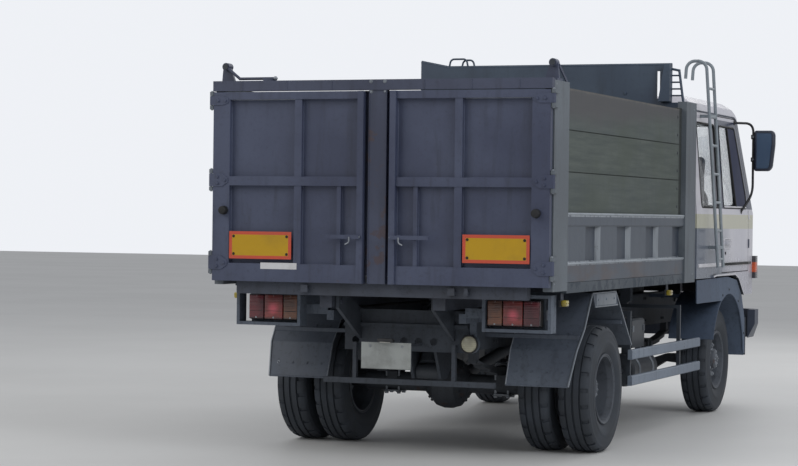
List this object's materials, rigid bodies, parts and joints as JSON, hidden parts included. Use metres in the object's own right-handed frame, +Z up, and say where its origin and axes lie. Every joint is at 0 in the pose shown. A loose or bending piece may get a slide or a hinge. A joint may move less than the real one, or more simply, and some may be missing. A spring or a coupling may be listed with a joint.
{
  "type": "dump truck",
  "caption": "Two-axle cab-over dump truck with a deep wood-sided tipping body, double-leaf rear gate, twin rear wheels, hoist and tilting cab.",
  "frame": {"origin": "centre of the overall box in X and Y, on the ground under the wheels", "axes": "+X to the truck's right (driver's side), +Y forward to the cab, +Z up"},
  "size_m": [2.584, 5.833, 2.6819],
  "materials": {
    "frame_steel": "satin, dusty",
    "cast": "rough, oily",
    "tyre_rubber": "dusty rubber",
    "rim_steel": "worn satin",
    "bumper_steel": "satin",
    "clear_glass": "clear",
    "lamp_red": "ribbed lens",
    "lamp_amber": "ribbed lens",
    "lamp_clear": "clear lens",
    "guard_grey": "worn satin",
    "tank_steel": "satin",
    "plate_white": "blank",
    "bed_steel": "scraped, rusty",
    "post_grey": "worn matt",
    "board_wood": "weathered grey green",
    "guard_blue": "worn matt slate blue",
    "gate_blue": "worn satin, rusty at the foot",
    "reflector": "yellow with orange red border",
    "hoist_steel": "oiled",
    "cab_white": "gloss, faded",
    "black_plastic": "grained",
    "seat_fabric": "woven",
    "tube_steel": "worn",
    "mirror_black": "satin"
  },
  "bodies": {
    "chassis": {"frame_rails": "frame_steel", "cross_members": "frame_steel", "cab_mounts": "frame_steel", "engine": "cast", "propeller_shaft": "cast", "rear_axle": "cast", "leaf_springs": "cast", "front_axle": "cast", "tanks": "tank_steel", "muffler": "tank_steel", "front_bumper": "bumper_steel", "head_lamps": "lamp_clear", "front_guards": "black_plastic", "steps": "frame_steel", "side_guards": "guard_grey", "rear_mudguards": "guard_grey", "lamp_frames": "frame_steel", "rear_lamps": "lamp_red", "rear_plate": "plate_white"},
    "left_knuckle": {"knuckle_left": "cast"},
    "right_knuckle": {"knuckle_right": "cast"},
    "left_front_wheel": {"front_rim_left": "rim_steel", "front_tyre_left": "tyre_rubber"},
    "right_front_wheel": {"front_rim_right": "rim_steel", "front_tyre_right": "tyre_rubber"},
    "left_rear_wheels": {"rear_rims_left": "rim_steel", "rear_tyres_left": "tyre_rubber"},
    "right_rear_wheels": {"rear_rims_right": "rim_steel", "rear_tyres_right": "tyre_rubber"},
    "load_body": {"bed_floor": "bed_steel", "bed_frame": "bed_steel", "bed_posts": "post_grey", "rear_header": "gate_blue", "side_panels": "post_grey", "side_boards": "board_wood", "headboard": "guard_blue", "marker_lamps": "lamp_amber"},
    "left_gate": {"gate_leaf_left": "gate_blue", "gate_plates_left": "reflector"},
    "right_gate": {"gate_leaf_right": "gate_blue", "gate_plates_right": "reflector"},
    "barrel": {"hoist_barrel": "tank_steel"},
    "sleeve": {"hoist_sleeve": "hoist_steel"},
    "rod": {"hoist_rod": "hoist_steel"},
    "cab": {"cab_shell": "cab_white", "cab_glass": "clear_glass", "cab_grille": "black_plastic", "turn_lamps": "lamp_amber", "seats": "seat_fabric", "dashboard": "black_plastic", "hook_ladder": "tube_steel"},
    "left_door": {"door_left": "cab_white", "door_glass_left": "clear_glass", "mirror_left": "mirror_black"},
    "right_door": {"door_right": "cab_white", "door_glass_right": "clear_glass", "mirror_right": "mirror_black"}
  },
  "joints": [
    {"name": "steer_left", "type": "hinge", "parent": "chassis", "child": "left_knuckle", "pos_m": [-0.725, 1.8535, 0.404], "axis": [0, 0, 1], "range_deg": [-35, 35]},
    {"name": "steer_right", "type": "hinge", "parent": "chassis", "child": "right_knuckle", "pos_m": [0.725, 1.8535, 0.404], "axis": [0, 0, 1], "range_deg": [-35, 35]},
    {"name": "roll_front_left", "type": "hinge", "parent": "left_knuckle", "child": "left_front_wheel", "pos_m": [-0.863, 1.8535, 0.404], "axis": [1, 0, 0], "continuous": true},
    {"name": "roll_front_right", "type": "hinge", "parent": "right_knuckle", "child": "right_front_wheel", "pos_m": [0.863, 1.8535, 0.404], "axis": [1, 0, 0], "continuous": true},
    {"name": "roll_rear_left", "type": "hinge", "parent": "chassis", "child": "left_rear_wheels", "pos_m": [-0.832, -1.5665, 0.404], "axis": [1, 0, 0], "continuous": true},
    {"name": "roll_rear_right", "type": "hinge", "parent": "chassis", "child": "right_rear_wheels", "pos_m": [0.832, -1.5665, 0.404], "axis": [1, 0, 0], "continuous": true},
    {"name": "tip_body", "type": "hinge", "parent": "chassis", "child": "load_body", "pos_m": [0, -2.6785, 0.965], "axis": [1, 0, 0], "range_deg": [0, 50]},
    {"name": "swing_gate_left", "type": "hinge", "parent": "load_body", "child": "left_gate", "pos_m": [-1.108, -2.8685, 1.66], "axis": [0, 0, -1], "range_deg": [0, 180]},
    {"name": "swing_gate_right", "type": "hinge", "parent": "load_body", "child": "right_gate", "pos_m": [1.108, -2.8685, 1.66], "axis": [0, 0, 1], "range_deg": [0, 180]},
    {"name": "hoist_swing", "type": "hinge", "parent": "chassis", "child": "barrel", "pos_m": [0, -1.9385, 0.5], "axis": [1, 0, 0], "range_deg": [0, 33.91]},
    {"name": "hoist_sleeve_out", "type": "slide", "parent": "barrel", "child": "sleeve", "axis": [0, 0.4614, 0.8872], "range_m": [0, 0.35584]},
    {"name": "hoist_rod_out", "type": "slide", "parent": "sleeve", "child": "rod", "axis": [0, 0.4614, 0.8872], "range_m": [0, 0.35584]},
    {"name": "tilt_cab", "type": "hinge", "parent": "chassis", "child": "cab", "pos_m": [0, 2.6615, 0.88], "axis": [-1, 0, 0], "range_deg": [0, 45]},
    {"name": "swing_door_left", "type": "hinge", "parent": "cab", "child": "left_door", "pos_m": [-1.057, 2.4945, 1.6], "axis": [0, 0, -1], "range_deg": [0, 70]},
    {"name": "swing_door_right", "type": "hinge", "parent": "cab", "child": "right_door", "pos_m": [1.057, 2.4945, 1.6], "axis": [0, 0, 1], "range_deg": [0, 70]}
  ],
  "couplings": [
    {"joint": "steer_right", "follows": "steer_left", "ratio": 1},
    {"joint": "hoist_swing", "follows": "tip_body", "ratio": 0.67811},
    {"joint": "hoist_sleeve_out", "follows": "tip_body", "m_per_rad": 0.40776},
    {"joint": "hoist_rod_out", "follows": "tip_body", "m_per_rad": 0.40776}
  ]
}
